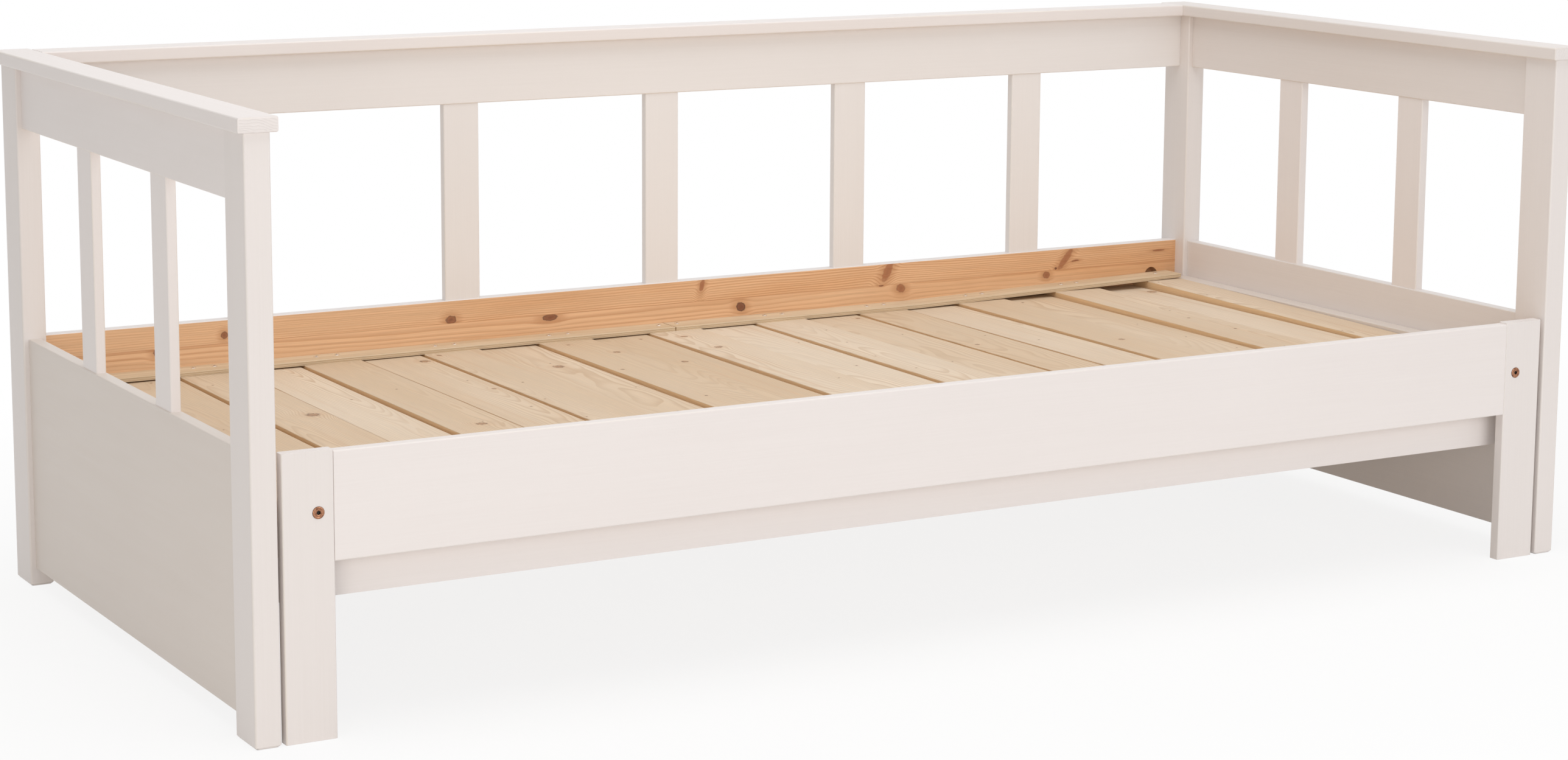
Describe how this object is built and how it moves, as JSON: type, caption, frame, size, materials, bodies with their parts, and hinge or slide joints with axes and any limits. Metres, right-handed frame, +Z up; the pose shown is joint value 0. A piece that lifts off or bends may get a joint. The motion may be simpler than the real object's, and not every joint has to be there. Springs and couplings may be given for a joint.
{
  "type": "pull-out daybed",
  "caption": "White lacquered daybed with baluster ends and back, whose front rail pulls out on its own legs while two interlaced combs of slats slide apart to widen the bed.",
  "frame": {"origin": "on the floor under the middle of the bed, pushed in", "axes": "+X along the bed to the right end seen from the front, +Y to the back, +Z up"},
  "size_m": [2.098, 0.975, 0.769],
  "materials": {
    "white_lacquer": "satin white lacquer on pine and fibreboard",
    "spruce_slats": "planed bare spruce",
    "natural_pine": "planed knotty pine, inner face bare",
    "bare_pine": "planed bare pine",
    "birch_plywood": "sanded plywood with bare edges",
    "bronzed_bolts": "bronzed socket head",
    "zinc_hardware": "bright zinc plate"
  },
  "bodies": {
    "frame": {"bed_bolt_nuts": "zinc_hardware", "bed_bolt_washers": "zinc_hardware", "bed_bolts": "zinc_hardware", "cap_left": "white_lacquer", "cap_rear": "white_lacquer", "cap_right": "white_lacquer", "end_baluster_left_1": "white_lacquer", "end_baluster_left_2": "white_lacquer", "end_baluster_right_1": "white_lacquer", "end_baluster_right_2": "white_lacquer", "end_panel_lower_left": "white_lacquer", "end_panel_lower_right": "white_lacquer", "end_panel_upper_left": "white_lacquer", "end_panel_upper_right": "white_lacquer", "fixed_slat_01": "spruce_slats", "fixed_slat_02": "spruce_slats", "fixed_slat_03": "spruce_slats", "fixed_slat_04": "spruce_slats", "fixed_slat_05": "spruce_slats", "fixed_slat_06": "spruce_slats", "fixed_slat_07": "spruce_slats", "fixed_slat_08": "spruce_slats", "fixed_slat_09": "spruce_slats", "fixed_slat_10": "spruce_slats", "fixed_slat_11": "spruce_slats", "front_beam": "white_lacquer", "post_front_left": "white_lacquer", "post_front_right": "white_lacquer", "post_rear_left": "white_lacquer", "post_rear_right": "white_lacquer", "rear_baluster_1": "white_lacquer", "rear_baluster_2": "white_lacquer", "rear_baluster_3": "white_lacquer", "rear_baluster_4": "white_lacquer", "rear_baluster_5": "white_lacquer", "rear_panel_upper": "white_lacquer", "rear_rail": "natural_pine", "rear_slat_bearer": "bare_pine", "retaining_strip_left": "birch_plywood", "retaining_strip_right": "birch_plywood", "side_rail_left": "white_lacquer", "side_rail_right": "white_lacquer"},
    "pullout": {"front_rail": "white_lacquer", "front_slat_bearer": "bare_pine", "leg_bolts": "bronzed_bolts", "leg_cleat_left": "bare_pine", "leg_cleat_right": "bare_pine", "leg_left": "white_lacquer", "leg_right": "white_lacquer", "moving_slat_01": "spruce_slats", "moving_slat_02": "spruce_slats", "moving_slat_03": "spruce_slats", "moving_slat_04": "spruce_slats", "moving_slat_05": "spruce_slats", "moving_slat_06": "spruce_slats", "moving_slat_07": "spruce_slats", "moving_slat_08": "spruce_slats", "moving_slat_09": "spruce_slats", "moving_slat_10": "spruce_slats", "tail_strip": "birch_plywood"}
  },
  "joints": [
    {"name": "pullout_slide", "type": "slide", "parent": "frame", "child": "pullout", "axis": [0, -1, 0], "range_m": [0, 0.82]}
  ]
}
